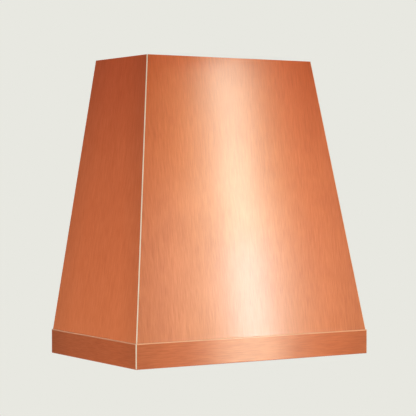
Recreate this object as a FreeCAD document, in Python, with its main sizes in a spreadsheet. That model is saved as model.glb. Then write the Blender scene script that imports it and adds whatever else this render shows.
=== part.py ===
# Pyramid range hood, hung from a ceiling. Millimetres. Origin in the middle of the ceiling plane,
# above the duct; X to the right, Y to the back, Z up. The rim of the hood lies hood_height below.
import FreeCAD, Part
import math
import os
import Sketcher
from FreeCAD import Vector

SIZES = [
    # Outline
    ("hood_width", 914.4),
    ("hood_depth", 592.0),
    ("hood_height", 1008.0),
    ("band_height", 82.4),
    ("top_width", 656.0),
    ("top_depth", 355.0),
    ("back_setback", 83.4),
    # Copper sheet
    ("copper_gauge", 1.5),
    ("seam_width", 2.6),
    ("hem_depth", 16.0),
    ("return_width", 24.0),
    ("bend_radius", 2.2),
    ("rim_width", 26.0),
    # Steel frame
    ("frame_gauge", 3.0),
    ("frame_gap", 0.3),
    ("rim_gap", 0.4),
    ("ceiling_leg", 64.0),
    ("ceiling_drop", 34.0),
    ("bolt_hole", 9.0),
    ("bolt_inset", 45.0),
    ("bolt_spacing", 500.0),
    ("post_leg", 30.0),
    ("post_gauge", 2.5),
    ("post_inset", 6.0),
    ("post_clearance", 1.0),
    # Liner
    ("liner_recess", 31.0),
    ("liner_gauge", 1.2),
    ("liner_gap", 2.0),
    ("liner_lap", 10.0),
    ("screw_size", 4.0),
    ("screw_head", 8.0),
    ("screw_head_height", 2.4),
    ("screw_length", 7.0),
    ("screw_clearance", 0.15),
    ("screw_corner", 55.0),
    ("screw_inner", 183.0),
    ("screw_side", 130.0),
    # Filters
    ("front_ledge", 111.0),
    ("back_ledge", 111.0),
    ("side_ledge", 76.2),
    ("filter_height", 20.0),
    ("filter_gap", 2.0),
    ("filter_gauge", 1.2),
    ("filter_border", 14.0),
    ("filter_lift", 1.0),
    ("baffle_width", 28.0),
    ("baffle_pitch", 38.0),
    ("baffle_wall", 7.0),
    ("baffle_gauge", 0.8),
    ("lug_thickness", 6.0),
    ("lug_gap", 1.0),
    ("lug_height", 18.0),
    ("lug_reach", 8.0),
    ("pivot_size", 6.0),
    ("pivot_inset", 6.0),
    ("pivot_bite", 2.6),
    ("running_clearance", 0.06),
    ("handle_span", 40.0),
    ("handle_rod", 5.0),
    ("clip_width", 24.0),
    ("clip_height", 15.0),
    ("clip_foot", 5.0),
    ("clip_gauge", 0.8),
    ("clip_gap", 0.5),
    # Lamps
    ("lamp_offset", 300.0),
    ("lamp_body", 46.0),
    ("lamp_bezel", 62.0),
    ("lamp_bezel_height", 2.5),
    ("lamp_glass", 48.0),
    ("lamp_height", 34.0),
    # Controls
    ("knob_offset", 44.0),
    ("knob_size", 34.0),
    ("knob_height", 20.0),
    ("knob_gap", 1.0),
    ("knob_shaft", 6.0),
    ("knob_grip", 12.0),
    ("switch_size", 34.0),
    ("switch_height", 24.0),
    # Blower
    ("box_gauge", 1.2),
    ("box_height", 330.0),
    ("box_side", 8.0),
    ("box_front", 6.0),
    ("box_rear", 10.0),
    ("box_flange", 6.0),
    ("axis_height", 170.0),
    ("wheel_radius", 72.0),
    ("wheel_width", 170.0),
    ("wheel_plate", 2.0),
    ("blade_depth", 14.0),
    ("blade_gauge", 1.0),
    ("hub_radius", 14.0),
    ("hub_length", 24.0),
    ("shaft_size", 8.0),
    ("scroll_width", 190.0),
    ("scroll_gauge", 1.0),
    ("scroll_step", 20.0),
    ("tongue_gap", 8.0),
    ("inlet_size", 124.0),
    ("motor_size", 96.0),
    ("motor_length", 100.0),
    ("motor_gap", 4.0),
    ("bracket_gauge", 2.0),
    ("bracket_arm", 26.0),
    ("bracket_reach", 84.0),
    # Duct collar and damper
    ("collar_size", 150.0),
    ("collar_gauge", 1.2),
    ("collar_height", 92.0),
    ("collar_plate", 190.0),
    ("damper_height", 42.0),
    ("damper_pin", 4.0),
    ("damper_gauge", 1.0),
    ("damper_gap", 1.5),
    ("knuckle_wall", 1.6),
    ("knuckle_gap", 0.6),
    ("knuckle_length", 22.0),
    ("stop_depth", 5.0),
    # Electrics on the blower box
    ("junction_offset", 275.0),
    ("junction_length", 110.0),
    ("junction_depth", 84.0),
    ("junction_height", 52.0),
    ("junction_gauge", 1.2),
    ("gland_size", 20.0),
    ("gland_bore", 9.0),
    ("gland_length", 16.0),
    ("capacitor_size", 42.0),
    ("capacitor_height", 74.0),
    ("driver_length", 120.0),
    ("driver_depth", 44.0),
    ("driver_height", 28.0),
]

# Sizes that follow from others: three filters fill the liner between its ledges
TIED = [
    ("filter_depth", "=hood_depth - front_ledge - back_ledge"),
    ("filter_pitch", "=(hood_width - 2 * side_ledge) / 3"),
]

doc = FreeCAD.newDocument("pyramid_hood")
sheet = doc.addObject("Spreadsheet::Sheet", "sizes")
for row, (size_name, size_value) in enumerate(SIZES + TIED, start=1):
    sheet.set("A%d" % row, size_name)
    sheet.set("B%d" % row, str(size_value))
    sheet.setAlias("B%d" % row, size_name)
doc.recompute()

pieces = []


def size(name):
    return "sizes." + name


def val(expression):
    return float(sheet.evalExpression(expression))


def bind(obj, **links):
    for name, expression in links.items():
        obj.setExpression(name, expression)


def put(obj, x="0", y="0", z="0", axis=(0, 0, 1), angle=0.0):
    spin = FreeCAD.Rotation(Vector(*axis), angle)
    obj.Placement = FreeCAD.Placement(Vector(val(x), val(y), val(z)), spin)
    obj.setExpression("Placement.Base.x", x)
    obj.setExpression("Placement.Base.y", y)
    obj.setExpression("Placement.Base.z", z)
    return obj


def piece(obj, label):
    obj.Label = label
    pieces.append(obj)
    return obj


# Bodies, sketches and their features

def new_body(name):
    return doc.addObject("PartDesign::Body", name)


def sketch(body, role, lift=None):
    made = body.newObject("Sketcher::SketchObject", body.Name + "_sketch")
    plane = [part for part in body.Origin.OriginFeatures if part.Role == role][0]
    made.AttachmentSupport = [(plane, "")]
    made.MapMode = "FlatFace"
    if lift is not None:
        made.setExpression("AttachmentOffset.Base.z", lift)
    return made


def fix(made, kind, geo, spot, expression):
    index = made.addConstraint(Sketcher.Constraint(kind, -1, 1, geo, spot, val(expression)))
    made.setExpression("Constraints[%d]" % index, expression)


def outline(made, points):
    # A point is (x, y), or (x, y, radius, turn) where an arc arrives: turn 1 is anticlockwise
    spots = [Vector(val(point[0]), val(point[1]), 0) for point in points]
    edges = []
    for i, point in enumerate(points):
        start, stop = spots[i - 1], spots[i]
        if len(point) == 2:
            edges.append((made.addGeometry(Part.LineSegment(start, stop)), 1, 2))
            continue
        radius, turn = val(point[2]), point[3]
        half = (stop - start) * 0.5
        side = Vector(-half.y, half.x, 0).normalize()
        centre = start + half + side * (turn * math.sqrt(radius ** 2 - half.Length ** 2))
        first, last = (start, stop) if turn > 0 else (stop, start)
        begin = math.atan2(first.y - centre.y, first.x - centre.x)
        end = math.atan2(last.y - centre.y, last.x - centre.x)
        if end < begin:
            end += 2 * math.pi
        circle = Part.Circle(centre, Vector(0, 0, 1), radius)
        geo = made.addGeometry(Part.ArcOfCircle(circle, begin, end))
        edges.append((geo, 1, 2) if turn > 0 else (geo, 2, 1))
    for i, (geo, head, tail) in enumerate(edges):
        after = edges[(i + 1) % len(edges)]
        made.addConstraint(Sketcher.Constraint("Coincident", geo, tail, after[0], after[1]))
    for (geo, head, tail), point in zip(edges, points):
        fix(made, "DistanceX", geo, tail, point[0])
        fix(made, "DistanceY", geo, tail, point[1])
        if len(point) > 2:
            index = made.addConstraint(Sketcher.Constraint("Radius", geo, val(point[2])))
            made.setExpression("Constraints[%d]" % index, point[2])
    return made


def rectangle(made, x0, x1, y0, y1):
    return outline(made, [(x0, y0), (x1, y0), (x1, y1), (x0, y1)])


def circle(made, x, y, diameter):
    spot = Vector(val(x), val(y), 0)
    geo = made.addGeometry(Part.Circle(spot, Vector(0, 0, 1), val(diameter) / 2))
    fix(made, "DistanceX", geo, 3, x)
    fix(made, "DistanceY", geo, 3, y)
    index = made.addConstraint(Sketcher.Constraint("Diameter", geo, val(diameter)))
    made.setExpression("Constraints[%d]" % index, diameter)
    return made


def pad(body, profile, length, way="up"):
    made = body.newObject("PartDesign::Pad", body.Name + "_pad")
    made.Profile = profile
    made.setExpression("Length", length)
    if way == "both":
        made.SideType = "Symmetric"
    made.Reversed = way == "down"
    return made


def pocket(body, profile, length=None, way="both"):
    made = body.newObject("PartDesign::Pocket", body.Name + "_pocket")
    made.Profile = profile
    if length is None:
        made.Type = "ThroughAll"
    else:
        made.setExpression("Length", length)
    if way == "both":
        made.SideType = "Symmetric"
    made.Reversed = way == "up"
    return made


def loft(body, lower, upper):
    made = body.newObject("PartDesign::AdditiveLoft", body.Name + "_loft")
    made.Profile = lower
    made.Sections = [upper]
    made.Ruled = True
    return made


def turned(name, points, axis="V_Axis"):
    # Profile in the XZ plane, turned about Z (V_Axis) or X (H_Axis)
    body = new_body(name)
    profile = outline(sketch(body, "XZ_Plane"), points)
    made = body.newObject("PartDesign::Revolution", name + "_turn")
    made.Profile = profile
    made.ReferenceAxis = (profile, [axis])
    made.Angle = 360.0
    return body


def polar(body, feature, profile, axis, count):
    made = body.newObject("PartDesign::PolarPattern", body.Name + "_polar")
    made.Originals = [feature]
    made.Axis = (profile, [axis])
    made.Angle = 360.0
    made.Occurrences = count
    body.Tip = made
    return made


# Solids from boxes and rods

def block(name, x0, x1, y0, y1, z0, z1):
    made = doc.addObject("Part::Box", name)
    bind(made, Length="(%s) - (%s)" % (x1, x0), Width="(%s) - (%s)" % (y1, y0),
         Height="(%s) - (%s)" % (z1, z0))
    return put(made, x0, y0, z0)


def rod(name, radius, length, x, y, z, along="z"):
    made = doc.addObject("Part::Cylinder", name)
    bind(made, Radius=radius, Height=length)
    turns = {"x": ((0, 1, 0), 90.0), "y": ((1, 0, 0), -90.0), "z": ((0, 0, 1), 0.0)}
    return put(made, x, y, z, *turns[along])


def cut(name, base, *tools):
    for i, tool in enumerate(tools):
        made = doc.addObject("Part::Cut", name + "_cut%d" % i)
        made.Base = base
        made.Tool = tool
        base = made
    return base


def fuse(name, *parts):
    made = doc.addObject("Part::MultiFuse", name + "_fuse")
    made.Shapes = list(parts)
    made.Refine = True
    return made


def group(name, parts):
    made = doc.addObject("Part::Compound", name + "_group")
    made.Links = list(parts)
    return made


# Places that several pieces share
gauge = size("copper_gauge")
seam = size("seam_width")
hem = "(2 * %s)" % gauge
half_w = "(sizes.hood_width / 2)"
half_d = "(sizes.hood_depth / 2)"
rim = "(-sizes.hood_height)"
band_top = "(%s + sizes.band_height)" % rim
back_y = "(sizes.top_depth / 2 + sizes.back_setback)"
front_y = "(%s - sizes.hood_depth)" % back_y
mid_y = "((%s + %s) / 2)" % (front_y, back_y)
body_x = "(%s - %s)" % (half_w, hem)
body_front = "(%s + %s)" % (front_y, hem)
body_back = "(%s - %s)" % (back_y, hem)
top_x = "(sizes.top_width / 2)"
top_y = "(sizes.top_depth / 2)"
liner_top = "(%s + sizes.liner_recess)" % rim
liner_low = "(%s - sizes.liner_gauge)" % liner_top
liner_edge = "(sizes.return_width + sizes.liner_gap)"
liner_x = "(%s - %s)" % (half_w, liner_edge)
liner_front = "(%s + %s)" % (front_y, liner_edge)
liner_back = "(%s - %s)" % (back_y, liner_edge)
base_reach = "(%s + sizes.liner_lap)" % liner_edge
base_start = "(%s + sizes.frame_gap)" % gauge
open_x = "(1.5 * sizes.filter_pitch + sizes.lug_thickness / 2 + sizes.lug_gap)"
open_front = "(%s + sizes.front_ledge - sizes.filter_gap)" % front_y
open_back = "(%s - sizes.back_ledge + sizes.filter_gap)" % back_y
sheet_t = size("box_gauge")
box_x = "(%s + sizes.box_side)" % open_x
box_y0 = "(%s - sizes.box_front)" % open_front
box_y1 = "(%s + sizes.box_rear)" % open_back
box_top = "(%s + sizes.box_height)" % liner_top
box_lip = "(%s + sizes.box_flange)" % sheet_t
front_strip = "((%s + %s + %s - %s) / 2)" % (front_y, base_reach, box_y0, box_lip)
back_strip = "((%s - %s + %s + %s) / 2)" % (back_y, base_reach, box_y1, box_lip)
screw_line = "(%s - sizes.liner_lap / 2)" % base_reach


# Copper panels: skirt behind the band, sloping sheet, in-turned rim at the top
def panel(label, along_x, low_base, high_base, inward, low_ends, high_ends):
    def spot(along, across):
        return (along, across) if along_x else (across, along)

    def section(made, base, ends):
        near = "(%s)" % base
        far = "(%s + %s * %s)" % (base, inward, gauge)
        return outline(made, [
            spot("(%s + %s)" % (ends[0], seam), near), spot("(%s - %s)" % (ends[1], seam), near),
            spot("(%s - %s)" % (ends[1], gauge), far), spot("(%s + %s)" % (ends[0], gauge), far)])

    body = new_body(label)
    skirt = section(sketch(body, "XY_Plane", band_top), low_base, low_ends)
    pad(body, skirt, size("hem_depth"), "down")
    lower = section(sketch(body, "XY_Plane", band_top), low_base, low_ends)
    upper = section(sketch(body, "XY_Plane"), high_base, high_ends)
    loft(body, lower, upper)

    def at(depth, end_depth, end):
        across = "(%s + %s * (%s))" % (high_base, inward, depth)
        sign = "+" if end == 0 else "-"
        return spot("(%s %s (%s))" % (high_ends[end], sign, end_depth), across)

    half = "%s / 2" % gauge
    corner = "(%s + %s) / 2" % (gauge, seam)
    width = size("rim_width")
    flange = outline(sketch(body, "XY_Plane"), [
        at(half, corner, 0), at(half, corner, 1), at(gauge, gauge, 1),
        at(width, width, 1), at(width, width, 0), at(gauge, gauge, 0)])
    pad(body, flange, gauge, "down")
    return piece(body, label)


wide_low = ("(-%s)" % body_x, body_x)
wide_high = ("(-%s)" % top_x, top_x)
deep_low = (body_front, body_back)
deep_high = ("(-%s)" % top_y, top_y)
panel("front_panel", True, body_front, "(-%s)" % top_y, "1", wide_low, wide_high)
panel("back_panel", True, body_back, top_y, "(-1)", wide_low, wide_high)
panel("left_panel", False, "(-%s)" % body_x, "(-%s)" % top_x, "1", deep_low, deep_high)
panel("right_panel", False, body_x, top_x, "(-1)", deep_low, deep_high)


# Seam beads that fill the corners of the panels and of the band
def seam_outline(made, x, y, in_x, in_y):
    return outline(made, [
        ("(%s + %d * %s)" % (x, in_x, gauge), "(%s + %d * %s)" % (y, in_y, gauge)),
        ("(%s + %d * %s)" % (x, in_x, seam), "(%s)" % y),
        ("(%s)" % x, "(%s + %d * %s)" % (y, in_y, seam), seam, -in_x * in_y)])


CORNERS = [("front_left", -1, -1), ("front_right", 1, -1), ("back_right", 1, 1), ("back_left", -1, 1)]
beads = []
band_beads = []
for corner_name, sx, sy in CORNERS:
    bead = new_body("bead_" + corner_name)
    low_y = body_front if sy < 0 else body_back
    low = sketch(bead, "XY_Plane", band_top)
    seam_outline(low, "%d * %s" % (sx, body_x), low_y, -sx, -sy)
    high = sketch(bead, "XY_Plane")
    seam_outline(high, "%d * %s" % (sx, top_x), "%d * %s" % (sy, top_y), -sx, -sy)
    loft(bead, low, high)
    beads.append(bead)
    bead = new_body("band_bead_" + corner_name)
    low = sketch(bead, "XY_Plane", "%s + sizes.bend_radius" % rim)
    seam_outline(low, "%d * %s" % (sx, half_w), front_y if sy < 0 else back_y, -sx, -sy)
    pad(bead, low, "sizes.band_height - sizes.bend_radius - %s" % gauge)
    band_beads.append(bead)
piece(group("corner_seams", beads), "corner_seams")
piece(group("apron_seams", band_beads), "apron_seams")


# Bars with mitred ends: profile points are (inward, up) from the outer corner of the ring
def bar(name, profile, length, reach, place, angle, relief=False, holes=()):
    body = new_body(name)
    pad(body, outline(sketch(body, "YZ_Plane"), profile), length, "both")
    ends = sketch(body, "XY_Plane")
    past = "(%s + 1)" % reach
    for sign in ("", "-1 * "):
        def end(offset, across):
            return ("%s((%s) / 2 - (%s))" % (sign, length, offset), across)
        if relief:
            line = [end(seam, "-1"), end(seam, "0"), end(gauge, gauge)]
        else:
            line = [end("-1", "-1")]
        outline(ends, line + [end(past, past), end("-2", past), end("-2", "-1")])
    pocket(body, ends)
    if holes:
        drilled = sketch(body, "XY_Plane")
        for along, across, diameter in holes:
            circle(drilled, along, across, diameter)
        pocket(body, drilled)
    return put(body, place[0], place[1], place[2], angle=angle)


def ring_sides(width, depth, middle_y, level):
    return [
        ("front", width, ("0", "%s - (%s) / 2" % (middle_y, depth), level), 0.0),
        ("right", depth, ("(%s) / 2" % width, middle_y, level), 90.0),
        ("back", width, ("0", "%s + (%s) / 2" % (middle_y, depth), level), 180.0),
        ("left", depth, ("-(%s) / 2" % width, middle_y, level), 270.0),
    ]


# Apron band
band = size("band_height")
bend = size("bend_radius")
wide = size("return_width")
apron_profile = [
    ("0", bend), ("0", "%s - %s" % (band, gauge)), (gauge, band, gauge, -1),
    (hem, "%s - %s" % (band, gauge), gauge, -1), (hem, "%s - sizes.hem_depth" % band),
    (gauge, "%s - sizes.hem_depth" % band), (gauge, gauge), (wide, gauge), (wide, "0"),
    (bend, "0"),
]
apron_profile[0] = ("0", bend, bend, -1)
base_ring = ring_sides("sizes.hood_width", "sizes.hood_depth", mid_y, rim)
for side, length, place, angle in base_ring:
    strip = bar("apron_" + side, apron_profile, length, wide, place, angle, relief=True)
    piece(strip, "apron_" + side)

# Base frame on the return of the band
steel = size("frame_gauge")
recess = size("liner_recess")
leg_in = "(%s + %s)" % (base_start, steel)
base_profile = [
    (base_start, gauge), (leg_in, gauge), (leg_in, recess), (base_reach, recess),
    (base_reach, "%s + %s" % (recess, steel)), (base_start, "%s + %s" % (recess, steel)),
]
screw_hole = "(sizes.screw_size + 2 * sizes.screw_clearance)"
screw_end = "(%s - sizes.screw_corner)" % half_w
WIDE_SCREWS = ("-" + screw_end, "-sizes.screw_inner", "sizes.screw_inner", screw_end)
DEEP_SCREWS = ("-sizes.screw_side", "sizes.screw_side")
base_bars = []
for side, length, place, angle in base_ring:
    spots = WIDE_SCREWS if side in ("front", "back") else DEEP_SCREWS
    drilled = [(spot, screw_line, screw_hole) for spot in spots]
    base_bars.append(bar("base_" + side, base_profile, length, base_reach, place, angle,
                         holes=drilled))
piece(group("base_frame", base_bars), "base_frame")

# Ceiling frame under the rim of the copper
leg = size("ceiling_leg")
rim_in = "(sizes.rim_width + sizes.rim_gap)"
tongue = "(%s + sizes.post_clearance / 2)" % gauge
under = "(-%s - %s)" % (gauge, steel)
ceiling_profile = [
    (tongue, "-" + gauge), (rim_in, "-" + gauge), (rim_in, "0"), (leg, "0"),
    (leg, "-sizes.ceiling_drop"), ("%s - %s" % (leg, steel), "-sizes.ceiling_drop"),
    ("%s - %s" % (leg, steel), under), (tongue, under),
]
ceiling_bars = []
for side, length, place, angle in ring_sides("sizes.top_width", "sizes.top_depth", "0", "0"):
    drilled = ()
    if side in ("front", "back"):
        drilled = [("-sizes.bolt_spacing / 2", "sizes.bolt_inset", "sizes.bolt_hole"),
                   ("sizes.bolt_spacing / 2", "sizes.bolt_inset", "sizes.bolt_hole")]
    ceiling_bars.append(bar("ceiling_" + side, ceiling_profile, length, leg, place, angle,
                            holes=drilled))
piece(group("ceiling_frame", ceiling_bars), "ceiling_frame")

# Corner posts from the base frame to the ceiling frame
posts = []
post_leg = size("post_leg")
post_gauge = size("post_gauge")
POST = [("0", "0"), (post_leg, "0"), (post_leg, post_gauge), (post_gauge, post_gauge),
        (post_gauge, post_leg), ("0", post_leg)]
post_x = "(%s - sizes.post_inset)" % half_w
post_ends = {-1: "(%s + sizes.post_inset)" % front_y, 1: "(%s - sizes.post_inset)" % back_y}
post_top = "(%s + sizes.post_clearance)" % gauge
for corner_name, sx, sy in CORNERS:
    post = new_body("post_" + corner_name)
    low = sketch(post, "XY_Plane", "%s + %s" % (liner_top, steel))
    outline(low, [("%d * (%s - %s)" % (sx, post_x, u), "%s - %d * %s" % (post_ends[sy], sy, v))
                  for u, v in POST])
    high = sketch(post, "XY_Plane", under)
    outline(high, [("%d * (%s - %s - %s)" % (sx, top_x, post_top, u),
                    "%d * (%s - %s - %s)" % (sy, top_y, post_top, v)) for u, v in POST])
    loft(post, low, high)
    posts.append(post)
piece(group("corner_posts", posts), "corner_posts")

# Liner pan
LAMPS = [("left_front", "-sizes.lamp_offset", front_strip),
         ("right_front", "sizes.lamp_offset", front_strip),
         ("left_back", "-sizes.lamp_offset", back_strip),
         ("right_back", "sizes.lamp_offset", back_strip)]
KNOBS = [("fan", "-sizes.knob_offset"), ("light", "sizes.knob_offset")]
SCREWS = []
for spot in WIDE_SCREWS:
    SCREWS.append((spot, "%s + %s" % (front_y, screw_line)))
    SCREWS.append((spot, "%s - %s" % (back_y, screw_line)))
for spot in DEEP_SCREWS:
    SCREWS.append(("-(%s - %s)" % (half_w, screw_line), "%s + %s" % (mid_y, spot)))
    SCREWS.append(("%s - %s" % (half_w, screw_line), "%s + %s" % (mid_y, spot)))
shaft_hole = "(sizes.knob_shaft + 2)"
lamp_hole = "(sizes.lamp_body + 1)"
liner = new_body("liner_pan")
plate = sketch(liner, "XY_Plane", liner_low)
rectangle(plate, "-%s" % liner_x, liner_x, liner_front, liner_back)
rectangle(plate, "-%s" % open_x, open_x, open_front, open_back)
for lamp_name, x, y in LAMPS:
    circle(plate, x, y, lamp_hole)
for knob_name, x in KNOBS:
    circle(plate, x, front_strip, shaft_hole)
for x, y in SCREWS:
    circle(plate, x, y, screw_hole)
pad(liner, plate, size("liner_gauge"))
piece(liner, "liner_pan")

# Screws that hold the liner to the base frame
screws = []
for i, (x, y) in enumerate(SCREWS):
    head = rod("screw_head%d" % i, "sizes.screw_head / 2", "sizes.screw_head_height", x, y,
               "%s - sizes.screw_head_height" % liner_low)
    shank = rod("screw_shank%d" % i, "sizes.screw_size / 2", "sizes.screw_length", x, y, liner_low)
    screws.append(fuse("screw%d" % i, head, shank))
piece(group("liner_screws", screws), "liner_screws")

# Baffle filters, hinged at the back
filter_low = "(%s + sizes.filter_lift)" % liner_low
filter_top = "(%s + sizes.filter_height)" % filter_low
filter_front = "(%s + sizes.filter_gap)" % open_front
filter_back = "(%s - sizes.filter_gap)" % open_back
filter_half = "((sizes.filter_pitch - sizes.lug_thickness) / 2 - sizes.lug_gap)"
pivot_y = "(%s - sizes.pivot_inset)" % filter_back
pivot_z = "(%s + sizes.filter_height / 2)" % filter_low
skin = size("filter_gauge")
border = size("filter_border")
for name, middle in (("left", "(-sizes.filter_pitch)"), ("centre", "(0 * sizes.filter_pitch)"),
                     ("right", "(sizes.filter_pitch)")):
    x0, x1 = "(%s - %s)" % (middle, filter_half), "(%s + %s)" % (middle, filter_half)

    def inside(tag, edge, low, high):
        return block("filter_%s_%s" % (name, tag), "%s + %s" % (x0, edge), "%s - %s" % (x1, edge),
                     "%s + %s" % (filter_front, edge), "%s - %s" % (filter_back, edge), low, high)

    whole = block("filter_%s_block" % name, x0, x1, filter_front, filter_back,
                  filter_low, filter_top)
    reach = "sizes.lug_gap + sizes.pivot_bite"
    pivots = [rod("filter_%s_pivot0" % name, "sizes.pivot_size / 2", reach,
                  "%s - (%s)" % (x0, reach), pivot_y, pivot_z, "x"),
              rod("filter_%s_pivot1" % name, "sizes.pivot_size / 2", reach,
                  x1, pivot_y, pivot_z, "x")]
    hollow = inside("hollow", skin, "%s + %s" % (filter_low, skin), "%s - %s" % (filter_top, skin))
    window = inside("window", border, "%s - 1" % filter_low, "%s + 1" % filter_top)
    ring = cut("filter_%s_ring" % name, whole, hollow, window)
    piece(fuse("filter_%s_frame" % name, ring, *pivots), "filter_%s_frame" % name)

    # Channels, low row open upward and high row open downward, as many as the frame takes
    room = val("2 * %s - 2 * %s - sizes.baffle_width" % (filter_half, skin))
    most = int(room / val(size("baffle_pitch"))) + 1
    wall = size("baffle_gauge")
    deep = size("baffle_wall")
    half = "(sizes.baffle_width / 2)"
    rows = []
    for tag, count, level, sign in (("low", most, "%s + %s" % (filter_low, skin), ""),
                                    ("high", most - 1, "%s - %s" % (filter_top, skin), "-1 * ")):
        body = new_body("filter_%s_%s_row" % (name, tag))
        start = "(%s - %s * sizes.baffle_pitch)" % (middle, (count - 1) / 2.0)
        profile = outline(sketch(body, "XZ_Plane", "-(%s + %s)" % (filter_front, skin)), [
            ("%s + %s" % (start, u), "%s + %s(%s)" % (level, sign, v)) for u, v in (
                ("-1 * " + half, "0"), (half, "0"), (half, deep), ("%s - %s" % (half, wall), deep),
                ("%s - %s" % (half, wall), wall), ("-1 * %s + %s" % (half, wall), wall),
                ("-1 * %s + %s" % (half, wall), deep), ("-1 * " + half, deep))])
        channel = pad(body, profile, "sizes.filter_depth - 2 * %s" % skin, "down")
        row = body.newObject("PartDesign::LinearPattern", body.Name + "_pattern")
        row.Originals = [channel]
        row.Direction = (profile, ["H_Axis"])
        row.Mode = "Spacing"
        row.setExpression("Offset", "sizes.baffle_pitch")
        row.Occurrences = count
        body.Tip = row
        rows.append(body)
    piece(group("filter_%s_baffles" % name, rows), "filter_%s_baffles" % name)

    handle = doc.addObject("Part::Torus", "filter_%s_bow" % name)
    bind(handle, Radius1="sizes.handle_span / 2", Radius2="sizes.handle_rod / 2")
    handle.Angle3 = 180.0
    put(handle, middle, "%s + %s / 2" % (filter_front, border), filter_low, (1, 0, 0), -90.0)
    piece(handle, "filter_%s_handle" % name)

# Lugs that carry the filter pivots, and clips that hold the front edges
lugs = []
for i, spot in enumerate(("-1.5", "-0.5", "0.5", "1.5")):
    x = "%s * sizes.filter_pitch" % spot
    solid = block("lug%d_block" % i, "%s - sizes.lug_thickness / 2" % x,
                  "%s + sizes.lug_thickness / 2" % x, "%s - sizes.pivot_size" % pivot_y,
                  "%s + sizes.lug_reach" % open_back, liner_top,
                  "%s + sizes.lug_height" % liner_top)
    bore = rod("lug%d_bore" % i, "sizes.pivot_size / 2 + sizes.running_clearance",
               "sizes.lug_thickness + 2", "%s - sizes.lug_thickness / 2 - 1" % x,
               pivot_y, pivot_z, "x")
    lugs.append(cut("lug%d" % i, solid, bore))
piece(group("filter_lugs", lugs), "filter_lugs")

clips = []
clip_face = "(%s - sizes.clip_gap)" % filter_front
thin = size("clip_gauge")
for i, middle in enumerate(("-1", "0", "1")):
    x = "%s * sizes.filter_pitch" % middle
    x0, x1 = "%s - sizes.clip_width / 2" % x, "%s + sizes.clip_width / 2" % x
    foot = block("clip%d_foot" % i, x0, x1, "%s - sizes.clip_foot" % open_front, clip_face,
                 liner_top, "%s + %s" % (liner_top, thin))
    leaf = block("clip%d_leaf" % i, x0, x1, "%s - %s" % (clip_face, thin), clip_face,
                 liner_top, "%s + sizes.clip_height" % liner_top)
    clips.append(fuse("clip%d" % i, foot, leaf))
piece(group("filter_clips", clips), "filter_clips")

# Lamps
housings = []
bezels = []
glasses = []
can = "(sizes.lamp_body / 2)"
flare = "(sizes.lamp_bezel / 2)"
glass_r = "(sizes.lamp_glass / 2)"
flat = size("lamp_bezel_height")
for name, x, y in LAMPS:
    housing = turned("lamp_can_" + name, [
        ("0", "0"), (can, "0"), (can, "sizes.lamp_height * 0.7"),
        ("%s * 0.8" % can, "sizes.lamp_height"), ("0", "sizes.lamp_height")])
    housings.append(put(housing, x, y, liner_low))
    bezel = turned("lamp_ring_" + name, [
        ("%s * 1.0" % glass_r, "0"), (flare, "0"), (flare, "-%s * 0.4" % flat),
        ("%s + (%s - %s) * 0.3" % (glass_r, flare, glass_r), "-" + flat), (glass_r, "-" + flat)])
    bezels.append(put(bezel, x, y, liner_low))
    glasses.append(rod("lamp_glass_" + name, glass_r, "%s - 0.8" % flat, x, y,
                       "%s - %s + 0.8" % (liner_low, flat)))
piece(group("lamp_housings", housings), "lamp_housings")
piece(group("lamp_bezels", bezels), "lamp_bezels")
piece(group("lamp_lenses", glasses), "lamp_lenses")

# Controls
knob_r = "(sizes.knob_size / 2)"
knob_top = "(%s - sizes.knob_gap)" % liner_low
shaft_r = "(sizes.knob_shaft / 2)"
knob_low = "-sizes.knob_height"
for name, x in KNOBS:
    knob = turned(name + "_knob", [
        (shaft_r, "0"), (knob_r, "0"), (knob_r, "-3"), ("%s - 2" % knob_r, "-4.5"),
        ("%s - 3" % knob_r, knob_low + " + 1.5"), ("%s - 4.5" % knob_r, knob_low),
        ("0", knob_low), ("0", "-sizes.knob_grip"), (shaft_r, "-sizes.knob_grip")])
    flute = sketch(knob, "XY_Plane", knob_low)
    circle(flute, "%s - 1.5" % knob_r, "0", "3.2")
    groove = pocket(knob, flute, "sizes.knob_height - 5", "up")
    polar(knob, groove, flute, "N_Axis", 14)
    put(knob, x, front_strip, knob_top)
    piece(knob, name + "_knob")
    shaft = rod(name + "_stem", shaft_r,
                "sizes.knob_grip + sizes.knob_gap + sizes.liner_gauge + sizes.switch_height * 0.8",
                x, front_strip, "%s - sizes.knob_grip" % knob_top)
    piece(shaft, name + "_knob_shaft")
    device = block(name + "_device", "%s - sizes.switch_size / 2" % x,
                   "%s + sizes.switch_size / 2" % x, "%s - sizes.switch_size / 2" % front_strip,
                   "%s + sizes.switch_size / 2" % front_strip, liner_top,
                   "%s + sizes.switch_height" % liner_top)
    bore = rod(name + "_bore", "%s + sizes.running_clearance" % shaft_r,
               "sizes.switch_height * 0.85 + 1", x, front_strip, "%s - 1" % liner_top)
    piece(cut(name + "_part", device, bore), "fan_switch" if name == "fan" else "light_dimmer")

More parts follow.
